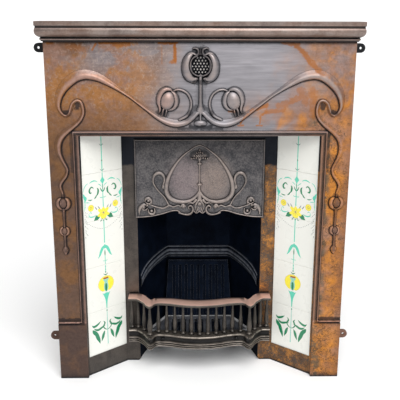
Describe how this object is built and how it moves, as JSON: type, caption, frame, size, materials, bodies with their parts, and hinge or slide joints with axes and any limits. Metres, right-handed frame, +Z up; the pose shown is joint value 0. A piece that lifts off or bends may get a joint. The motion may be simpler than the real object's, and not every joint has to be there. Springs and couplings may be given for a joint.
{
  "type": "fireplace surround",
  "caption": "Cast-iron fireplace surround with moulded shelf, raised trailing stems and fruit, splayed tiled cheeks, relief hood, front bars, ribbed fireback and slotted grate.",
  "frame": {"origin": "centre of the bounding box's underside, on the floor", "axes": "+Z up, -Y towards the room, +X to the right seen from the room; the wall is at +Y"},
  "size_m": [0.98, 0.3964, 1.1283],
  "materials": {
    "surround_iron": "polished and worn, with brown patina, rust and dark dirt in the recesses",
    "shelf_iron": "polished copper-brown, bright on the round moulding, dark in the grooves",
    "insert_iron": "dark satin blacking, rusty on the right-hand stile",
    "hood_iron": "dark satin, paler worn ridges",
    "bars_iron": "dark olive-grey satin, bare worn top edge",
    "chamber_black": "blue-black satin stove paint",
    "grate_black": "matt black",
    "tile_glaze": "glossy cream glaze with painted teal, yellow and green flowers"
  },
  "bodies": {
    "root": {"surround_front": "surround_iron", "mantel_shelf": "shelf_iron", "insert_frame": "insert_iron", "tile_left_1": "tile_glaze", "tile_left_2": "tile_glaze", "tile_left_3": "tile_glaze", "tile_left_4": "tile_glaze", "tile_left_5": "tile_glaze", "tile_right_1": "tile_glaze", "tile_right_2": "tile_glaze", "tile_right_3": "tile_glaze", "tile_right_4": "tile_glaze", "tile_right_5": "tile_glaze", "hood": "hood_iron", "front_bars": "bars_iron", "fireback": "chamber_black", "bottom_grate": "grate_black"}
  },
  "joints": []
}
